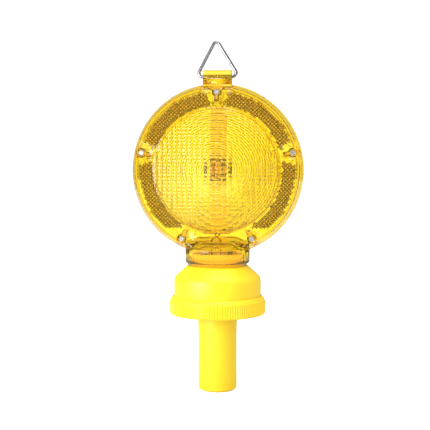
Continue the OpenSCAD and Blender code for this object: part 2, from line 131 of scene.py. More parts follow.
class LampStudio(bpy.types.PropertyGroup):
    """Camera and light"""

    distance: length("Camera Distance", "Distance of the camera from the lamp's axis", 0.905)
    azimuth: FloatProperty(name="Camera Azimuth", description="Degrees round from the front", default=4.5)
    aim: length("Aim Height", "Height that the camera is aimed at", 0.1846)
    key: amount("Key Light", "Power of the softbox that lights matt surfaces, in watts", 14.0)
    gloss: amount("Gloss Light", "Power of the softbox that polished surfaces mirror, in watts", 7.0)
    top: amount("Top Light", "Power of the overhead softbox in watts", 7.0)
    fill: amount("Fill", "Brightness of the room on matt surfaces", 1.13)
    inside: amount("Inside Fill", "The same for what lies behind amber", 2.6)
    dim: amount("Dim Sides", "Brightness of the room's dark sides", 0.62)
    bright: amount("Bright Ends", "Brightness of the room's lit ends", 1.24)
    mirrored: amount("Mirrored Room", "Share of the room that polished surfaces mirror", 0.22)
    paper: amount("Backdrop", "Brightness of the room behind the lamp as the camera sees it", 1.05)
    warmth: colour("Warmth", "Tint of the room's dark sides", (1.0, 0.77, 0.36))


# ---------------------------------------------------------------- shader groups


def add(tree, kind, inputs=(), **settings):
    """Adds a node, sets its settings, and links or sets each named input."""
    node = tree.nodes.new(kind)
    for key, value in settings.items():
        setattr(node, key, value)
    for key, value in dict(inputs).items():
        if isinstance(value, bpy.types.NodeSocket):
            tree.links.new(value, node.inputs[key])
        else:
            node.inputs[key].default_value = value
    return node


def new_group(name, inputs, outputs):
    """An empty shader group with its sockets, and its input and output nodes."""
    tree = bpy.data.node_groups.new(name, "ShaderNodeTree")
    for label, kind in inputs:
        tree.interface.new_socket(label, in_out="INPUT", socket_type="NodeSocket" + kind)
    for label, kind in outputs:
        tree.interface.new_socket(label, in_out="OUTPUT", socket_type="NodeSocket" + kind)
    return tree, tree.nodes.new("NodeGroupInput").outputs, tree.nodes.new("NodeGroupOutput").inputs


def ranged(tree, value, low, high, to_low, to_high):
    """A value mapped from one range to another, held at the ends."""
    inputs = {"Value": value, "From Min": low, "From Max": high, "To Min": to_low, "To Max": to_high}
    return add(tree, "ShaderNodeMapRange", inputs).outputs["Result"]


def blended(tree, share, first, second, kind="FLOAT"):
    """A number or colour that goes from the first to the second as the share goes from 0 to 1."""
    mix = add(tree, "ShaderNodeMix", {"Factor": share, "A": first, "B": second}, data_type=kind)
    return mix.outputs["Result"]


def maths(tree, operation, first, second):
    """One sum of two values or sockets."""
    return add(tree, "ShaderNodeMath", {0: first, 1: second}, operation=operation).outputs[0]


def moulded_finish():
    """Group for moulded and coated surfaces: slow colour flow, fine grain, and a roughness that varies."""
    name = "moulded_finish"
    if name in bpy.data.node_groups:
        return bpy.data.node_groups[name]
    tree, given, out = new_group(
        name,
        (("Colour", "Color"), ("Shade", "Color"), ("Flow Scale", "Float"), ("Grain Scale", "Float"),
         ("Roughness Low", "Float"), ("Roughness High", "Float")),
        (("Colour", "Color"), ("Roughness", "Float"), ("Height", "Float")),
    )
    place = add(tree, "ShaderNodeTexCoord").outputs["Object"]
    flow = add(tree, "ShaderNodeTexNoise", {"Vector": place, "Scale": given["Flow Scale"], "Detail": 3.0})
    grain = add(tree, "ShaderNodeTexNoise", {"Vector": place, "Scale": given["Grain Scale"], "Detail": 2.0})
    clouded = ranged(tree, flow.outputs["Fac"], 0.35, 0.65, 0.0, 1.0)
    tree.links.new(blended(tree, clouded, given["Colour"], given["Shade"], "RGBA"), out["Colour"])
    unevenness = maths(tree, "ADD", flow.outputs["Fac"], grain.outputs["Fac"])
    rough = add(tree, "ShaderNodeMapRange", {
        "Value": unevenness, "From Min": 0.7, "From Max": 1.3,
        "To Min": given["Roughness Low"], "To Max": given["Roughness High"]})
    tree.links.new(rough.outputs["Result"], out["Roughness"])
    tree.links.new(grain.outputs["Fac"], out["Height"])
    return tree


def drawn_metal():
    """Group for drawn and plated metal: streaks along one direction, spangle, and dull patches."""
    name = "drawn_metal"
    if name in bpy.data.node_groups:
        return bpy.data.node_groups[name]
    tree, given, out = new_group(
        name,
        (("Colour", "Color"), ("Shade", "Color"), ("Streak", "Vector"), ("Spangle Scale", "Float"),
         ("Roughness Low", "Float"), ("Roughness High", "Float")),
        (("Colour", "Color"), ("Roughness", "Float"), ("Height", "Float")),
    )
    place = add(tree, "ShaderNodeTexCoord").outputs["Object"]
    turned = add(tree, "ShaderNodeMapping", {"Vector": place, "Scale": given["Streak"]}).outputs["Vector"]
    streak = add(tree, "ShaderNodeTexNoise", {"Vector": turned, "Scale": 1.0, "Detail": 4.0}).outputs["Fac"]
    spangle = add(tree, "ShaderNodeTexVoronoi", {"Vector": place, "Scale": given["Spangle Scale"]}).outputs
    spot = add(tree, "ShaderNodeSeparateColor", {"Color": spangle["Color"]}).outputs["Red"]
    patch = maths(tree, "ADD", maths(tree, "MULTIPLY", streak, 0.7), maths(tree, "MULTIPLY", spot, 0.3))
    dulled = ranged(tree, patch, 0.3, 0.7, 0.0, 1.0)
    tree.links.new(blended(tree, dulled, given["Colour"], given["Shade"], "RGBA"), out["Colour"])
    rough = add(tree, "ShaderNodeMapRange", {
        "Value": patch, "From Min": 0.3, "From Max": 0.7,
        "To Min": given["Roughness Low"], "To Max": given["Roughness High"]})
    tree.links.new(rough.outputs["Result"], out["Roughness"])
    tree.links.new(streak, out["Height"])
    return tree


def prism_lattice():
    """Group for the prism plates: painted shade darkens the valleys on a diamond lattice, and a random
    flicker darkens some prisms.
    """
    name = "prism_lattice"
    if name in bpy.data.node_groups:
        return bpy.data.node_groups[name]
    tree, given, out = new_group(
        name,
        (("Colour", "Color"), ("Shade", "Color"), ("Pitch", "Float"), ("Valley", "Float")),
        (("Colour", "Color"), ("Roughness", "Float"), ("Valley", "Float")),
    )
    place = add(tree, "ShaderNodeTexCoord").outputs["Object"]
    turned = add(tree, "ShaderNodeMapping", {
        "Vector": place, "Location": (0, 0, -LENS_CENTRE)}).outputs["Vector"]
    parts = add(tree, "ShaderNodeSeparateXYZ", {"Vector": turned}).outputs
    valleys = []
    for operation in ("ADD", "SUBTRACT"):
        along = maths(tree, "MULTIPLY", maths(tree, operation, parts["X"], parts["Z"]), math.sqrt(0.5))
        cells = maths(tree, "DIVIDE", along, given["Pitch"])
        off = maths(tree, "ABSOLUTE", maths(tree, "SUBTRACT", maths(tree, "FRACT", cells, 0.0), 0.5), 0.0)
        valleys.append(maths(tree, "SUBTRACT", 0.5, off))
    edge = maths(tree, "MINIMUM", valleys[0], valleys[1])
    # The valley mask lays painted shade along the lines between prisms; the flicker below darkens random
    # prisms.
    inputs = {"Value": edge, "From Min": 0.0, "From Max": given["Valley"], "To Min": 1.0, "To Max": 0.0}
    painted_valley_shade_mask = add(tree, "ShaderNodeMapRange", inputs).outputs["Result"]
    flicker = add(tree, "ShaderNodeTexNoise", {"Vector": place, "Scale": 420.0, "Detail": 2.0}).outputs["Fac"]
    valley_shade_and_flicker = maths(tree, "MAXIMUM", painted_valley_shade_mask, ranged(tree, flicker, 0.45, 0.7, 0.0, 0.8))
    tree.links.new(blended(tree, valley_shade_and_flicker, given["Colour"], given["Shade"], "RGBA"), out["Colour"])
    tree.links.new(ranged(tree, flicker, 0.3, 0.7, 0.15, 0.4), out["Roughness"])
    tree.links.new(painted_valley_shade_mask, out["Valley"])
    return tree


# ---------------------------------------------------------------- materials


def blank_material(name):
    """A new node material with its Principled shader and output, or None if it is already made."""
    if name in bpy.data.materials:
        return None
    material = bpy.data.materials.new(name)
    material.use_nodes = True
    return material


def finish(name, group, given, bump, grain, **shader):
    """A Principled material fed by a finish group, with a bump of the given height in metres."""
    material = blank_material(name)
    if material is None:
        return bpy.data.materials[name]
    tree = material.node_tree
    look = tree.nodes["Principled BSDF"]
    source = add(tree, "ShaderNodeGroup", {}, node_tree=group())
    for key, value in given.items():
        source.inputs[key].default_value = value
    tree.links.new(source.outputs["Colour"], look.inputs["Base Color"])
    tree.links.new(source.outputs["Roughness"], look.inputs["Roughness"])
    if grain:
        raised = add(tree, "ShaderNodeBump", {"Strength": bump, "Distance": grain,
                                              "Height": source.outputs["Height"]})
        tree.links.new(raised.outputs["Normal"], look.inputs["Normal"])
    for key, value in shader.items():
        look.inputs[key.replace("_", " ")].default_value = value
    return material


def rgba(values, times=1.0):
    """A linear colour with its alpha, darkened or lightened by a factor."""
    return (*[min(1.0, v * times) for v in values], 1.0)


def moulded(name, base, shade, rough, flow=35.0, grain=2500.0, bump=0.25, height=0.05 * MM, **shader):
    """Moulded, coated or rubber finish."""
    given = {"Colour": rgba(base), "Shade": rgba(shade), "Flow Scale": flow, "Grain Scale": grain,
             "Roughness Low": rough[0], "Roughness High": rough[1]}
    return finish(name, moulded_finish, given, bump, height, **shader)


def metal(name, base, streak, rough, spangle=900.0, bump=0.15, height=0.04 * MM):
    """Drawn, plated or bare metal finish."""
    given = {"Colour": rgba(base), "Shade": rgba(base, 0.66), "Streak": streak, "Spangle Scale": spangle,
             "Roughness Low": rough[0], "Roughness High": rough[1]}
    return finish(name, drawn_metal, given, bump, height, Metallic=1.0)


def amber_glass(name, ripple):
    """Clear amber moulding: tinted at its skin, deeper in colour through its thickness."""
    colours = bpy.context.scene.lamp_colours
    material = moulded(name, colours.amber, [c * f for c, f in zip(colours.amber, (1, 0.985, 0.9))],
                       (0.015, 0.05), flow=45.0, grain=ripple, bump=0.3, height=0.12 * MM,
                       Transmission_Weight=0.97, IOR=1.46)
    tree = material.node_tree
    output = tree.nodes["Material Output"]
    if not output.inputs["Volume"].is_linked:
        depth = add(tree, "ShaderNodeVolumeAbsorption", {"Color": rgba(colours.amber_edge), "Density": 190.0})
        tree.links.new(depth.outputs["Volume"], output.inputs["Volume"])
    return material


def lemon_plastic():
    """Satin lemon-yellow plastic of the housing and the base."""
    colours = bpy.context.scene.lamp_colours
    return moulded("lemon_plastic", colours.yellow, colours.yellow_shade, (0.34, 0.46), flow=22.0,
                   grain=1800.0, bump=0.2, height=0.04 * MM, Specular_IOR_Level=0.5)


def prism_sheet():
    """Amber cube-corner sheet, with painted shade in the valleys between its prisms."""
    colours, sizes = bpy.context.scene.lamp_colours, bpy.context.scene.lamp_sizes
    given = {"Colour": rgba(colours.prism), "Shade": rgba(colours.prism_valley_painted_shade),
             "Pitch": sizes.prism_pitch, "Valley": 0.34}
    return finish("prism_sheet", prism_lattice, given, 0.0, 0.0, IOR=1.35)


def galvanised():
    """Galvanised steel of the hanger wire."""
    return metal("galvanised_wire", bpy.context.scene.lamp_colours.steel, (420.0, 420.0, 60.0), (0.22, 0.42))


# ---------------------------------------------------------------- mesh helpers


def new_piece(name, bm, body, material, sharp=32.0, stands_for=()):
    """Turns a bmesh into a finished piece that rides on a CAD body."""
    mesh = bpy.data.meshes.new(name)
    bm.to_mesh(mesh)
    bm.free()
    mesh.materials.append(material)
    mesh.shade_smooth()
    mesh.set_sharp_from_angle(angle=math.radians(sharp))
    piece = bpy.data.objects.new(name, mesh)
    bpy.context.scene.collection.objects.link(piece)
    if body:
        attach(piece, body)
    if stands_for:
        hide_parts(*stands_for)
    return piece


def profile_line(bm, corners, closed):
    """A profile in the XZ plane from (radius, height, fillet) corners in millimetres."""
    verts = [bm.verts.new((radius * MM, 0, height * MM)) for radius, height, _ in corners]
    for first, second in zip(verts, verts[1:]):
        bm.edges.new((first, second))
    if closed:
        bm.edges.new((verts[-1], verts[0]))
    for vert, corner in zip(verts, corners):
        if corner[2]:
            bmesh.ops.bevel(bm, geom=[vert], offset=corner[2] * MM, affect="VERTICES", segments=4,
                            profile=0.5, material=-1)


def turned(corners, steps, closed=True):
    """A solid of revolution about Z from a profile, which may end on the axis instead of closing."""
    bm = bmesh.new()
    profile_line(bm, corners, closed)
    bmesh.ops.spin(bm, geom=bm.verts[:] + bm.edges[:], cent=(0, 0, 0), axis=(0, 0, 1), angle=math.tau,
                   steps=steps, use_merge=True, dvec=(0, 0, 0))
    bmesh.ops.remove_doubles(bm, verts=bm.verts[:], dist=WELD)
    bmesh.ops.recalc_face_normals(bm, faces=bm.faces[:])
    return bm


def helical_ridge(base, crest, bottom, pitch, turns, steps):
    """A screw thread's ridge, from its root radius to its crest radius, in millimetres."""
    bm = bmesh.new()
    section = [(base, bottom - 0.8), (crest, bottom - 0.4), (crest, bottom + 0.4), (base, bottom + 0.8)]
    face = bm.faces.new([bm.verts.new((r * MM, 0, z * MM)) for r, z in section])
    bmesh.ops.spin(bm, geom=[face], cent=(0, 0, 0), axis=(0, 0, 1), angle=math.tau * turns,
                   steps=int(steps * turns), dvec=(0, 0, pitch * MM / steps))
    bmesh.ops.recalc_face_normals(bm, faces=bm.faces[:])
    return bm


def merged_copy(node):
    """A CAD node's mesh as a bmesh with its doubles merged."""
    bm = bmesh.new()
    bm.from_mesh(NODES[node].data)
    bmesh.ops.remove_doubles(bm, verts=bm.verts[:], dist=WELD)
    return bm


def mirrored(bm, factors):
    """A copy of a bmesh scaled by -1 along some axes, its faces turned back outwards."""
    copy = bm.copy()
    bmesh.ops.scale(copy, vec=factors, verts=copy.verts[:])
    bmesh.ops.reverse_faces(copy, faces=copy.faces[:])
    return copy


def dome_depth(radius, skin):
    """Depth of the dome in front of the middle plane, skin metres inside its outer surface."""
    sizes = bpy.context.scene.lamp_sizes
    rise = sizes.optic_depth - sizes.face_depth
    sphere = (sizes.optic_radius**2 + rise**2) / (2 * rise)
    return sizes.optic_depth - sphere + math.sqrt((sphere - skin) ** 2 - radius**2)


# ---------------------------------------------------------------- lens head


class LAMP_OT_lens_shells(bpy.types.Operator):
    """Builds the two amber lens shells, open in the middle for their optics"""

    bl_idname = "lamp.lens_shells"
    bl_label = "Lens Shells"

    def execute(self, context):
        sizes = context.scene.lamp_sizes
        for node, name, out in (("lens_front", "front_lens_shell", -1), ("lens_rear", "rear_lens_shell", 1)):
            bm = merged_copy(node)
            slack, hair = 0.03 * MM, 0.001 * MM

            def in_dome(vert):
                """True on the dome's outside and inside, which the optic replaces."""
                radius = math.hypot(vert.co.x, vert.co.z - LENS_CENTRE)
                depth = vert.co.y * out
                outside = depth > sizes.face_depth - slack and radius < sizes.optic_radius + slack
                inside = (depth > sizes.face_depth - sizes.wall - slack
                          and radius < sizes.optic_radius - sizes.wall + slack)
                return outside or inside

            dome = [face for face in bm.faces if all(in_dome(vert) for vert in face.verts)]
            if not dome:
                raise RuntimeError("no dome found on " + node)
            bmesh.ops.delete(bm, geom=dome, context="FACES")
            rims = [edge for edge in bm.edges if edge.is_boundary]
            bmesh.ops.bridge_loops(bm, edges=rims)
            for vert in bm.verts:
                if abs(vert.co.y) < hair:
                    vert.co.y = out * sizes.seam
            bmesh.ops.recalc_face_normals(bm, faces=bm.faces[:])
            new_piece(name, bm, "lens_head", amber_glass("clear_amber", 140.0),
                      sharp=24.0, stands_for=(node,))
        return {"FINISHED"}


class LAMP_OT_optics(bpy.types.Operator):
    """Builds the two domed optics, pillows outside and ring lenses inside"""

    bl_idname = "lamp.optics"
    bl_label = "Optics"

    def execute(self, context):
        sizes = context.scene.lamp_sizes
        faces_across, faces_up = 8, 6
        rim_gap, rim_band, skin_gap = 0.15 * MM, 0.2 * MM, 0.1 * MM
        columns = 2 * math.ceil(sizes.optic_radius / sizes.cell_width)
        rows = 2 * math.ceil(sizes.optic_radius / sizes.cell_height)
        bm = bmesh.new()
        bmesh.ops.create_grid(bm, x_segments=columns * faces_across, y_segments=rows * faces_up, size=1)
        reach = max(vert.co.x for vert in bm.verts)
        width, height = columns * sizes.cell_width / 2, rows * sizes.cell_height / 2
        bmesh.ops.scale(bm, vec=(width / reach, height / reach, 1), verts=bm.verts[:])
        edge = sizes.optic_radius - rim_gap
        outside = [face for face in bm.faces if any(v.co.xy.length > edge - rim_band for v in face.verts)]
        bmesh.ops.delete(bm, geom=outside, context="FACES")
        crown, bow, margin = sizes.pillow_rise, sizes.pillow_rise * 0.7, 0.5 * MM
        for vert in bm.verts:
            x, z = vert.co.x, vert.co.y
            radius = math.hypot(x, z)
            if vert.is_boundary:
                x, z, radius = x * edge / radius, z * edge / radius, edge
                vert.co = (x, -dome_depth(radius, 0), z)
                continue
            column, row = x / sizes.cell_width, z / sizes.cell_height
            far_x = (abs(math.floor(column) + 0.5) + 0.5) * sizes.cell_width
            far_z = (abs(math.floor(row) + 0.5) + 0.5) * sizes.cell_height
            whole = math.hypot(far_x, far_z) < sizes.optic_radius - margin
            s, t = 2 * (column - math.floor(column)) - 1, 2 * (row - math.floor(row)) - 1
            pillow = crown * (1 - s * s) + bow * (1 - t * t) if whole else (crown + bow) * 0.6
            vert.co = (x, -(dome_depth(radius, 0) - (crown + bow) + pillow), z)
        outer_rim = [e for e in bm.edges if e.is_boundary]

        inner = sizes.optic_radius - sizes.wall - skin_gap
        rings = int(inner / sizes.ring_pitch)
        line = [(0.0, dome_depth(0, sizes.wall) - 0.4 * MM)]
        for k in range(rings + 1):
            start, end = k * sizes.ring_pitch, min((k + 1) * sizes.ring_pitch, inner)
            rise = (0.3 + 0.7 * end / inner) * sizes.ring_rise
            if k:
                line.append((start + sizes.riser, dome_depth(start + sizes.riser, sizes.wall) - rise))
            if end - start > skin_gap:
                line.append((end, dome_depth(end, sizes.wall)))
        ring_bm = bmesh.new()
        verts = [ring_bm.verts.new((radius, -depth, 0)) for radius, depth in line]
        for first, second in zip(verts, verts[1:]):
            ring_bm.edges.new((first, second))
        bmesh.ops.spin(ring_bm, geom=ring_bm.verts[:] + ring_bm.edges[:], cent=(0, 0, 0), axis=(0, 1, 0),
                       angle=math.tau, steps=144, use_merge=True, dvec=(0, 0, 0))
        bmesh.ops.remove_doubles(ring_bm, verts=ring_bm.verts[:], dist=WELD)
        scratch = bpy.data.meshes.new("ring_lenses")
        ring_bm.to_mesh(scratch)
        ring_bm.free()
        known = set(bm.edges)
        bm.from_mesh(scratch)
        bpy.data.meshes.remove(scratch)
        inner_rim = [e for e in bm.edges if e not in known and e.is_boundary]
        bmesh.ops.bridge_loops(bm, edges=outer_rim + inner_rim)
        bmesh.ops.recalc_face_normals(bm, faces=bm.faces[:])
        bmesh.ops.translate(bm, vec=LENS_AXIS, verts=bm.verts[:])
        glass = amber_glass("optic_amber", 140.0)
        rear = mirrored(bm, (1, -1, 1))
        new_piece("front_optic", bm, "lens_head", glass, sharp=20.0)
        new_piece("rear_optic", rear, "lens_head", glass, sharp=20.0)
        return {"FINISHED"}


class LAMP_OT_prism_plates(bpy.types.Operator):
    """Builds the four C-shaped prism plates behind the lens faces"""

    bl_idname = "lamp.prism_plates"
    bl_label = "Prism Plates"

    def execute(self, context):
        sizes = context.scene.lamp_sizes
        pitch = sizes.prism_pitch
        cells = 2 * math.ceil(sizes.plate_outer / pitch) + 2
        screw_radius, scallop_radius, sheet, split = 80.5 * MM, 10.4 * MM, 0.9 * MM, 0.6 * MM
        screws = []
        for degrees in (90, 12.7, 167.3, 243, 297):
            angle = math.radians(degrees)
            screws.append(Vector((math.cos(angle), math.sin(angle))) * screw_radius)
        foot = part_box("reflector_front_right")[0].z - LENS_CENTRE
        bm = bmesh.new()
        bmesh.ops.create_grid(bm, x_segments=cells, y_segments=cells, size=1)
        reach = max(vert.co.x for vert in bm.verts)
        bmesh.ops.scale(bm, vec=Vector((1, 1, 1)) * cells * pitch / 2 / reach, verts=bm.verts[:])
        bmesh.ops.rotate(bm, cent=(0, 0, 0), matrix=Matrix.Rotation(math.pi / 4, 3, "Z"), verts=bm.verts[:])
        half = pitch * 0.5

        def outside(face):
            """True for a cell that isn't wholly on the right-hand plate."""
            spot = face.calc_center_median().xy
            band = sizes.plate_inner + half < spot.length < sizes.plate_outer - half
            clear = all((spot - screw).length > scallop_radius + half for screw in screws)
            return not (band and clear and spot.x > split + half and spot.y > foot + half)

        bmesh.ops.delete(bm, geom=[face for face in bm.faces if outside(face)], context="FACES")
        top = bmesh.ops.extrude_face_region(bm, geom=bm.faces[:])["geom"]
        raised = [part for part in top if isinstance(part, bmesh.types.BMVert)]
        bmesh.ops.translate(bm, vec=(0, 0, sheet), verts=raised)
        bmesh.ops.recalc_face_normals(bm, faces=bm.faces[:])
        faces = [f for f in bm.faces if f.normal.z > 0.9]
        bmesh.ops.poke(bm, faces=faces, offset=sizes.prism_rise, center_mode="MEAN")
        back = sizes.face_depth - sizes.wall - 2 * sheet
        turn = Matrix.Translation(LENS_AXIS) @ Matrix.Rotation(math.pi / 2, 4, "X")
        bmesh.ops.transform(bm, matrix=turn @ Matrix.Translation((0, 0, back)), verts=bm.verts[:])
        for face, depth in (("front", 1), ("rear", -1)):
            for side, across in (("right", 1), ("left", -1)):
                plate = bm.copy()
                bmesh.ops.scale(plate, vec=(across, depth, 1), verts=plate.verts[:])
                if across * depth < 0:
                    bmesh.ops.reverse_faces(plate, faces=plate.faces[:])
                new_piece(f"{face}_{side}_prism_plate", plate, "lens_head", prism_sheet(),
                          sharp=10.0, stands_for=(f"reflector_{face}_{side}",))
        bm.free()
        return {"FINISHED"}


class LAMP_OT_hanger(bpy.types.Operator):
    """Bends the steel hanger from one length of wire"""

    bl_idname = "lamp.hanger"
    bl_label = "Wire Hanger"

    def execute(self, context):
        sizes = context.scene.lamp_sizes
        half, corner_bend, apex_bend, end_gap = 19.4 * MM, 4.0 * MM, 3.2 * MM, 0.4 * MM
        hinge = HINGE_HEIGHT
        apex = Vector((-1.2 * MM, 0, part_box("hanger_wire")[1].z - sizes.wire / 2 - apex_bend))
        corners = [Vector((side * (half - corner_bend), 0, hinge + corner_bend)) for side in (1, -1)]
        slopes = []
        for side, corner in zip((1, -1), corners):
            step = apex - corner
            lean = math.asin((corner_bend - apex_bend) / step.length)
            slopes.append(math.atan2(step.z, step.x * side) + lean)
        bm = bmesh.new()
        turn = Matrix.Translation((end_gap, 0, hinge)) @ Matrix.Rotation(math.pi / 2, 4, "Y")
        bmesh.ops.create_circle(bm, cap_ends=True, segments=20, radius=sizes.wire / 2, matrix=turn)
        ring = list(bm.edges)

        def straight(edges, move):
            """Draws the wire on in a straight line and returns its new end."""
            grown = bmesh.ops.extrude_edge_only(bm, edges=edges)["geom"]
            bmesh.ops.translate(bm, vec=move, verts=[g for g in grown if isinstance(g, bmesh.types.BMVert)])
            return [g for g in grown if isinstance(g, bmesh.types.BMEdge)]

        def bend(edges, centre, angle, steps):
            """Bends the wire round a centre and returns its new end."""
            last = bmesh.ops.spin(bm, geom=edges, cent=centre, axis=(0, -1, 0), angle=angle, steps=steps,
                                  dvec=(0, 0, 0))["geom_last"]
            return [g for g in last if isinstance(g, bmesh.types.BMEdge)]

        def on_side(edges, angle):
            """Draws the first sloping side, from a bottom corner to the apex."""
            start = corners[0] + corner_bend * Vector((math.cos(angle), 0, math.sin(angle)))
            end = apex + apex_bend * Vector((math.cos(angle), 0, math.sin(angle)))
            return straight(edges, end - start)

        ring = straight(ring, (corners[0].x - end_gap, 0, 0))
        ring = bend(ring, corners[0], slopes[0], 14)
        ring = on_side(ring, slopes[0] - math.pi / 2)
        ring = bend(ring, apex, math.tau - slopes[0] - slopes[1], 14)
        angle = 1.5 * math.pi - slopes[1]
        way = Vector((math.cos(angle), 0, math.sin(angle)))
        ring = straight(ring, corners[1] + corner_bend * way - apex - apex_bend * way)
        ring = bend(ring, corners[1], slopes[1], 14)
        ring = straight(ring, (-end_gap - corners[1].x, 0, 0))
        bmesh.ops.edgeloop_fill(bm, edges=ring)
        bmesh.ops.remove_doubles(bm, verts=bm.verts[:], dist=WELD)
        bmesh.ops.recalc_face_normals(bm, faces=bm.faces[:])
        new_piece("steel_hanger", bm, "hanger", galvanised(), sharp=50.0,
                  stands_for=("hanger_wire",))
        return {"FINISHED"}


class LAMP_OT_leads(bpy.types.Operator):
    """Runs the two leads from the LED board down to the flasher board"""

    bl_idname = "lamp.leads"
    bl_label = "Leads"

    def execute(self, context):
        sizes = context.scene.lamp_sizes
        spread, foot = 2.6 * MM, LAMP_BOARD_TOP
        cross_top, cross_bottom = BOARD_FOOT - 2.5 * MM, BOARD_FOOT - 13.0 * MM
        for node, name, start, end, bow, tone, slot in (
            ("lead_red", "red_lead", -spread, 3.0 * MM, -1.4 * MM, (0.62, 0.03, 0.015), "lead_red"),
            ("lead_black", "black_lead", spread, -6.0 * MM, 1.4 * MM, (0.03, 0.022, 0.015), "lead_black"),
        ):
            def station(z):
                """Middle of the lead at a height."""
                way = min(1.0, max(0.0, (cross_top - z) / (cross_top - cross_bottom)))
                share = way * way * (3 - 2 * way)
                return Vector((start + (end - start) * share, bow * math.sin(math.pi * share), z))

            bm = bmesh.new()
            bmesh.ops.create_circle(bm, cap_ends=True, segments=12, radius=sizes.lead / 2,
                                    matrix=Matrix.Translation(station(BOARD_FOOT)))
            ring = list(bm.edges)
            count = 30
            for k in range(1, count + 1):
                z = BOARD_FOOT + (foot - BOARD_FOOT) * k / count
                here = station(BOARD_FOOT + (foot - BOARD_FOOT) * (k - 1) / count)
                grown = bmesh.ops.extrude_edge_only(bm, edges=ring)["geom"]
                bmesh.ops.translate(bm, vec=station(z) - here,
                                    verts=[g for g in grown if isinstance(g, bmesh.types.BMVert)])
                ring = [g for g in grown if isinstance(g, bmesh.types.BMEdge)]
            bmesh.ops.edgeloop_fill(bm, edges=ring)
            bmesh.ops.recalc_face_normals(bm, faces=bm.faces[:])
            sleeve = moulded(name + "_sleeve", tone, [c * 0.6 for c in tone], (0.35, 0.5), flow=200.0)
            piece = new_piece(name, bm, None, sleeve, sharp=50.0, stands_for=(node,))
            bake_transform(piece)
        return {"FINISHED"}


# ---------------------------------------------------------------- housing and base


class LAMP_OT_housing(bpy.types.Operator):
    """Turns the flared housing with its neck and snap flange, and its outside thread"""

    bl_idname = "lamp.housing"
    bl_label = "Housing"

    def execute(self, context):
        corners = [
            (41.4, 86.4, 0.4), (43.8, 86.4, 0.5), (43.8, 97.0, 0), (45.8, 97.0, 0.7), (45.8, 119.0, 3.2),
            (31.5, 132.0, 1.2), (27.5, 132.0, 0), (27.5, 135.9, 0), (30.6, 135.9, 0.25), (30.6, 137.9, 0.5),
            (27.5, 139.1, 0), (27.5, 145.0, 0.5), (25.0, 145.0, 0.5), (25.0, 129.6, 0), (41.4, 114.0, 2.0),
        ]
        new_piece("flared_housing", turned(corners, 192), "housing", lemon_plastic(),
                  stands_for=("housing",))
        ridge = helical_ridge(43.2, 45.4, 88.0, 4.0, 1.5, 72)
        new_piece("housing_thread", ridge, "housing", lemon_plastic())
        return {"FINISHED"}


class LAMP_OT_screw_base(bpy.types.Operator):
    """Turns the spigot and its knurled screw ring, and the plug in the spigot's end"""

    bl_idname = "lamp.screw_base"
    bl_label = "Screw Base"

    def execute(self, context):
        sizes = context.scene.lamp_sizes
        crest = 50.65
        root = crest - sizes.rib_depth / MM
        corners = [
            (18.4, 4.0, 0), (20.3, 4.0, 0.2), (20.3, 58.0, 0), (20.9, 81.0, 0), (49.6, 81.0, 0.5),
            (root, 81.9, 0), (crest, 82.5, 0), (crest, 93.7, 0), (root, 94.3, 0), (50.3, 94.9, 0.3),
            (49.5, 96.6, 0.6), (47.0, 100.0, 0.5), (46.4, 100.0, 0), (46.4, 84.0, 0), (20.3, 84.0, 0),
            (20.3, 130.0, 0.3), (18.4, 130.0, 0.3),
        ]
        steps = sizes.ribs * 4
        bm = turned(corners, steps)
        for vert in bm.verts:
            radius = vert.co.xy.length
            if abs(radius - crest * MM) < 0.02 * MM:
                step = round(math.atan2(vert.co.y, vert.co.x) / math.tau * steps) % 4
                if step >= 2:
                    vert.co.xy *= root * MM / radius
        bmesh.ops.recalc_face_normals(bm, faces=bm.faces[:])
        new_piece("screw_ring_and_spigot", bm, "base", lemon_plastic(), sharp=28.0,
                  stands_for=("screw_base",))
        ridge = helical_ridge(47.0, 44.6, 90.0, 4.0, 1.5, 72)
        new_piece("ring_thread", ridge, "base", lemon_plastic())
        bottom = [(0, 0, 0), (18.5, 0, 0.4), (20.3, 1.8, 0.5), (20.3, 4.0, 0.2), (0, 4.0, 0)]
        plug = turned(bottom, 128, False)
        new_piece("spigot_plug", plug, "base", lemon_plastic(), stands_for=("end_plug",))
        return {"FINISHED"}


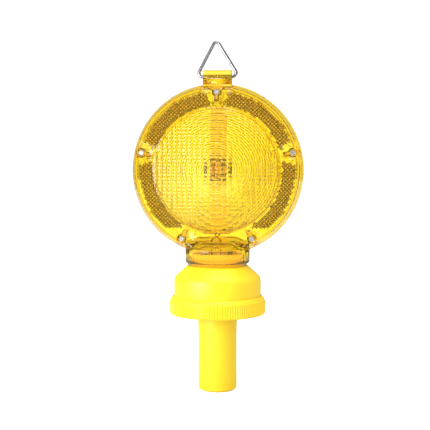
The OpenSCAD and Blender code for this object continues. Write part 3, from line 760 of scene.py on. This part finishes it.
class LAMP_OT_inside_parts(bpy.types.Operator):
    """Gives every carried-over part its finish"""

    bl_idname = "lamp.inside_parts"
    bl_label = "Inside Parts"

    def execute(self, context):
        steel = context.scene.lamp_colours.steel
        screw = metal("screw_steel", (0.36, 0.33, 0.3), (1200.0, 300.0, 1200.0), (0.2, 0.3))
        plate = metal("nickel_plate", (0.74, 0.7, 0.6), (700.0, 90.0, 700.0), (0.2, 0.38))
        can = metal("tinned_can", steel, (300.0, 300.0, 900.0), (0.25, 0.4))
        jacket = metal("cell_jacket", (0.3, 0.31, 0.34), (60.0, 60.0, 900.0), (0.3, 0.45))
        board = moulded("board_sheet", (0.95, 0.78, 0.42), (0.9, 0.7, 0.34), (0.3, 0.45), flow=120.0)
        led = moulded("led_resin", (0.6, 0.3, 0.05), (0.45, 0.2, 0.03), (0.08, 0.16), flow=90.0)
        holder = moulded("led_collar", (0.06, 0.014, 0.004), (0.04, 0.01, 0.003), (0.45, 0.6), flow=90.0)
        carrier = moulded("carrier_plastic", (0.8, 0.5, 0.02), (0.7, 0.42, 0.016), (0.35, 0.5))
        chip = moulded("chip_package", (0.02, 0.02, 0.022), (0.014, 0.014, 0.016), (0.4, 0.55), flow=300.0)
        sleeve = moulded("capacitor_sleeve", (0.03, 0.04, 0.13), (0.02, 0.026, 0.09), (0.2, 0.35), flow=200.0)
        lacquer = moulded("resistor_lacquer", (0.42, 0.26, 0.1), (0.34, 0.2, 0.07), (0.2, 0.35), flow=300.0)
        sensor = moulded("sensor_resin", (0.5, 0.13, 0.02), (0.4, 0.09, 0.015), (0.12, 0.25), flow=300.0)
        slider = moulded("slider_plastic", (0.025, 0.025, 0.025), (0.015, 0.015, 0.015), (0.4, 0.55))
        rubber = moulded("gasket_rubber", (0.02, 0.02, 0.02), (0.03, 0.029, 0.028), (0.6, 0.8), flow=60.0)
        finishes = {
            "case_screws": screw, "led_board": board, "led_front": led, "led_rear": led,
            "led_holders": holder, "contact_carrier": carrier, "top_contact": plate,
            "return_contact": plate, "flasher_board": board, "flasher_chip": chip, "capacitor": sleeve,
            "resistors": lacquer, "photocell": sensor, "switch_body": can, "switch_slider": slider,
            "base_gasket": rubber, "spring_plate": plate, "battery_spring": plate,
            "battery_lower": jacket, "battery_upper": jacket, "return_strip": plate,
        }
        for node, material in finishes.items():
            mesh = NODES[node].data
            mesh.materials.clear()
            mesh.materials.append(material)
        return {"FINISHED"}


# ---------------------------------------------------------------- stage


class LAMP_OT_stage(bpy.types.Operator):
    """Sets the pale floor, the studio light and the camera"""

    bl_idname = "lamp.stage"
    bl_label = "Stage"

    def execute(self, context):
        scene, studio = context.scene, context.scene.lamp_studio
        bm = bmesh.new()
        bmesh.ops.create_grid(bm, x_segments=4, y_segments=4, size=2.0)
        mesh = bpy.data.meshes.new("studio_floor")
        bm.to_mesh(mesh)
        bm.free()
        paper = bpy.data.materials.new("studio_paper")
        paper.use_nodes = True
        look = paper.node_tree.nodes["Principled BSDF"]
        look.inputs["Base Color"].default_value = (0.5, 0.5, 0.5, 1)
        look.inputs["Roughness"].default_value = 1.0
        look.inputs["Emission Color"].default_value = (1, 1, 1, 1)
        seen = add(paper.node_tree, "ShaderNodeLightPath").outputs["Is Camera Ray"]
        paper.node_tree.links.new(seen, look.inputs["Emission Strength"])
        mesh.materials.append(paper)
        floor = bpy.data.objects.new("studio_floor", mesh)
        scene.collection.objects.link(floor)
        floor.location.z = -0.0002

        for name, spot, size, power, on_matt, on_polish in (
            ("key_softbox", (-0.86, -0.84, 0.35), (0.95, 0.65), studio.key, True, False),
            ("gloss_softbox", (-0.56, -0.64, 0.262), (0.6, 0.51), studio.gloss, False, True),
            ("top_softbox", (0.15, -0.35, 1.4), (1.0, 0.8), studio.top, True, True),
        ):
            light = bpy.data.lights.new(name, "AREA")
            light.shape, light.size, light.size_y, light.energy = "RECTANGLE", *size, power
            lamp = bpy.data.objects.new(name, light)
            lamp.location = spot
            lamp.rotation_euler = (Vector((0, 0, 0.18)) - lamp.location).to_track_quat("-Z", "Y").to_euler()
            lamp.visible_camera = False
            lamp.visible_transmission = False
            lamp.visible_diffuse = on_matt
            lamp.visible_glossy = on_polish
            scene.collection.objects.link(lamp)

        # The room is bright behind the lamp and round the camera and dim at its sides, so that the
        # edges of clear amber show; matt surfaces and the camera see it evenly lit
        world = bpy.data.worlds.new("studio_room")
        world.use_nodes = True
        tree = world.node_tree
        tree.nodes.clear()
        way = add(tree, "ShaderNodeTexCoord").outputs["Generated"]
        depth = add(tree, "ShaderNodeSeparateXYZ", {"Vector": way}).outputs["Y"]
        ray = add(tree, "ShaderNodeLightPath").outputs
        behind = ranged(tree, depth, 0.7, 0.95, studio.dim, studio.bright)
        ahead = ranged(tree, depth, -0.985, -0.93, studio.bright, studio.dim)
        in_polish = ranged(tree, ray["Is Reflection Ray"], 0, 1, 1, studio.mirrored)
        level = maths(tree, "MULTIPLY", maths(tree, "MAXIMUM", behind, ahead), in_polish)
        on_matt = maths(tree, "GREATER_THAN", ray["Diffuse Depth"], 0.5)
        behind_amber = maths(tree, "GREATER_THAN", ray["Transmission Depth"], 0.5)
        fill = blended(tree, behind_amber, studio.fill, studio.inside)
        lit = blended(tree, on_matt, level, fill)
        strength = blended(tree, ray["Is Camera Ray"], lit, studio.paper)
        dimness = ranged(tree, level, studio.dim, studio.bright, 1.0, 0.0)
        warm = maths(tree, "MULTIPLY", dimness, ray["Is Transmission Ray"])
        tint = blended(tree, warm, (1, 1, 1, 1), rgba(studio.warmth), "RGBA")
        room = add(tree, "ShaderNodeBackground", {"Color": tint, "Strength": strength})
        output = tree.nodes.new("ShaderNodeOutputWorld")
        tree.links.new(room.outputs["Background"], output.inputs["Surface"])
        world.cycles.sampling_method = "NONE"
        scene.world = world

        view = bpy.data.cameras.new("view")
        view.lens, view.sensor_width = 72.0, 36.0
        view.shift_x = -0.006
        camera = bpy.data.objects.new("view", view)
        angle = math.radians(studio.azimuth)
        camera.location = (studio.distance * math.sin(angle), -studio.distance * math.cos(angle), LENS_CENTRE)
        aim = Vector((0, 0, studio.aim)) - camera.location
        camera.rotation_euler = aim.to_track_quat("-Z", "Y").to_euler()
        scene.collection.objects.link(camera)
        scene.camera = camera
        scene.view_settings.view_transform = "Standard"
        scene.cycles.max_bounces = 20
        scene.cycles.transmission_bounces = 20
        return {"FINISHED"}


class LAMP_PT_panel(bpy.types.Panel):
    """Lists the lamp's sizes, colours and building steps"""

    bl_idname = "LAMP_PT_panel"
    bl_label = "Warning Lamp"
    bl_space_type = "VIEW_3D"
    bl_region_type = "UI"
    bl_category = "Lamp"

    def draw(self, context):
        for settings in (context.scene.lamp_sizes, context.scene.lamp_colours, context.scene.lamp_studio):
            box = self.layout.box()
            for name in settings.__annotations__:
                box.prop(settings, name)
        for step in STEPS:
            self.layout.operator(step.bl_idname)


STEPS = (
    LAMP_OT_stage,
    LAMP_OT_lens_shells,
    LAMP_OT_optics,
    LAMP_OT_prism_plates,
    LAMP_OT_hanger,
    LAMP_OT_leads,
    LAMP_OT_housing,
    LAMP_OT_screw_base,
    LAMP_OT_inside_parts,
)
SETTINGS = (("lamp_sizes", LampSizes), ("lamp_colours", LampColours), ("lamp_studio", LampStudio))


def register():
    """Registers the settings, the steps and the panel."""
    for name, kind in SETTINGS:
        bpy.utils.register_class(kind)
        setattr(bpy.types.Scene, name, PointerProperty(type=kind))
    for step in (*STEPS, LAMP_PT_panel):
        bpy.utils.register_class(step)


def unregister():
    """Takes the panel, the steps and the settings off again."""
    for step in reversed((*STEPS, LAMP_PT_panel)):
        bpy.utils.unregister_class(step)
    for name, kind in reversed(SETTINGS):
        delattr(bpy.types.Scene, name)
        bpy.utils.unregister_class(kind)


def main():
    """Builds the whole lamp."""
    register()
    for step in STEPS:
        family, name = step.bl_idname.split(".")
        getattr(getattr(bpy.ops, family), name)()


if __name__ == "__main__":
    main()
